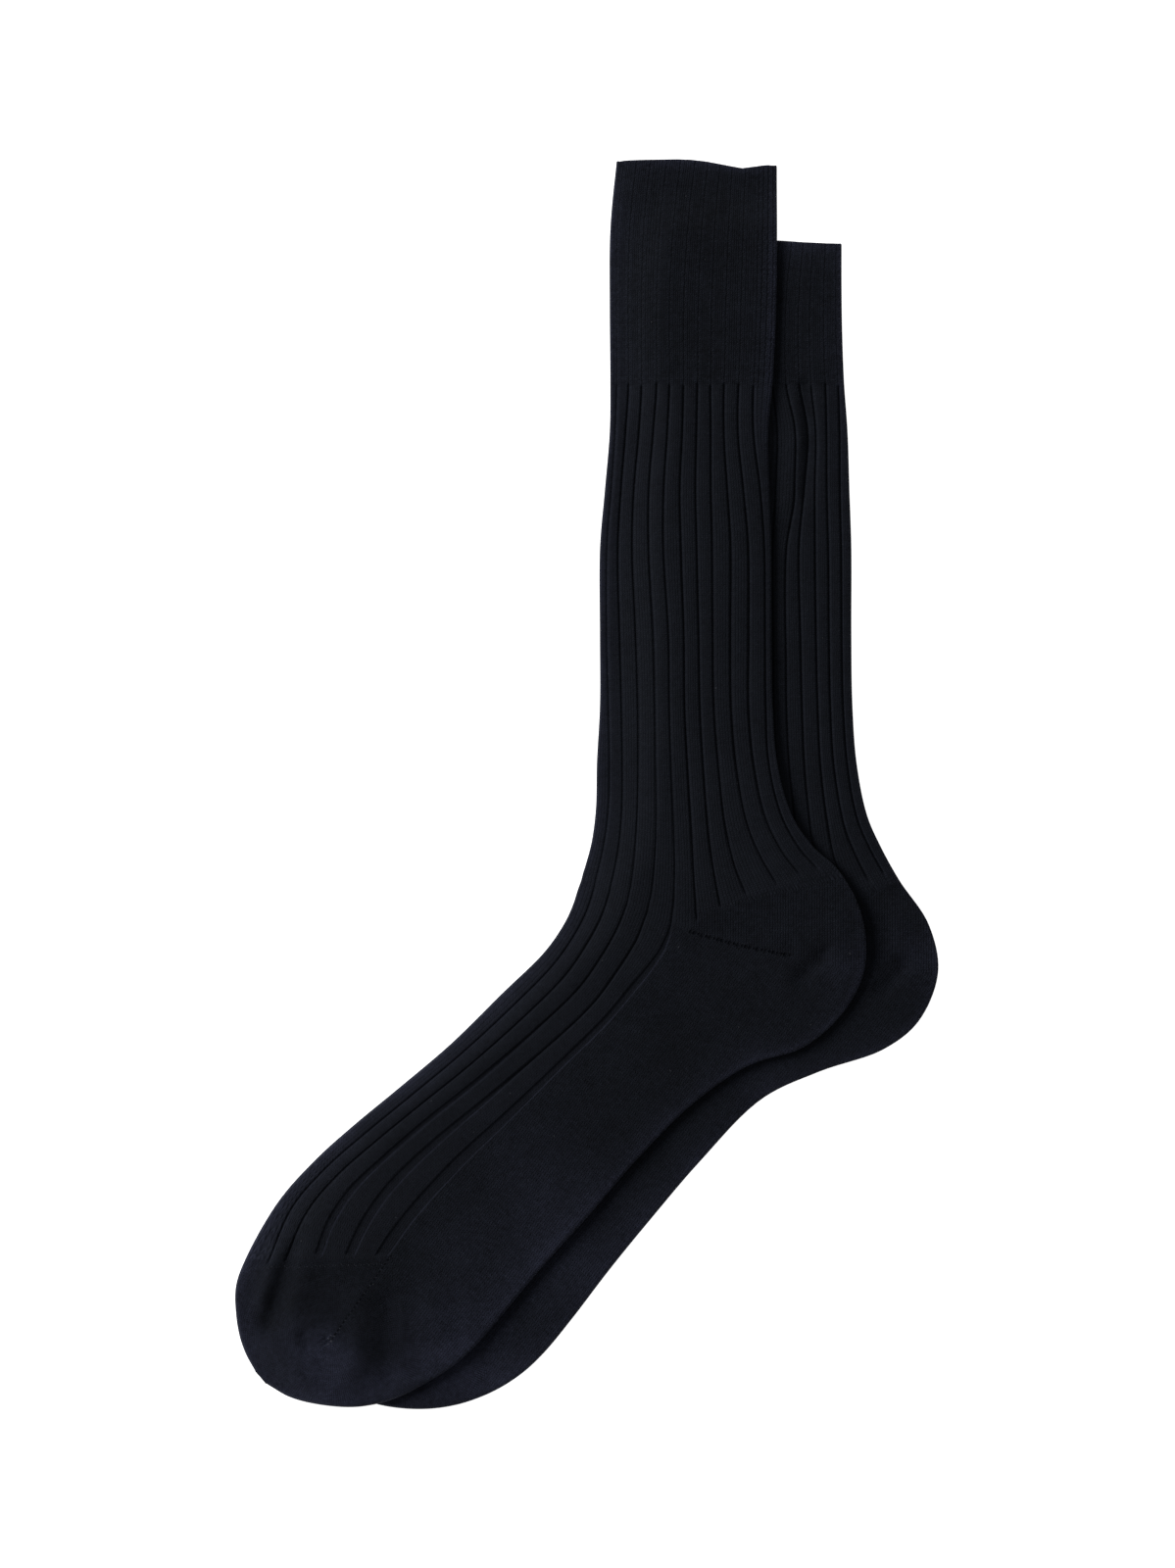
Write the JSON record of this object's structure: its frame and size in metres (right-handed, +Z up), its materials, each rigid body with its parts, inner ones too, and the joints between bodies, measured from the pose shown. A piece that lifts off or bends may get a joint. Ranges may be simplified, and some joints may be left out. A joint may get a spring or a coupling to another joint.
{
  "type": "pair of socks",
  "caption": "Mid-calf ribbed dress socks laid flat, one lying over the other, with plain cuffs, heel pockets, soles and toes.",
  "frame": {"origin": "on the surface the socks lie on, under the centre of the pair's bounding box", "axes": "+Z up from the surface, +Y along the legs towards the cuffs, +X towards the heels"},
  "size_m": [0.2582, 0.46, 0.0069],
  "materials": {
    "cuff_knit": "matt fine plain knit, very dark navy, doubled band",
    "rib_knit": "matt fine wide rib knit, very dark navy",
    "plain_knit": "matt fine plain knit, very dark navy"
  },
  "bodies": {
    "root": {"lower-cuff": "cuff_knit", "lower-leg": "rib_knit", "lower-heel": "plain_knit", "lower-foot": "rib_knit", "lower-toe": "plain_knit", "upper-cuff": "cuff_knit", "upper-leg": "rib_knit", "upper-heel": "plain_knit", "upper-foot": "rib_knit", "upper-toe": "plain_knit"}
  },
  "joints": []
}
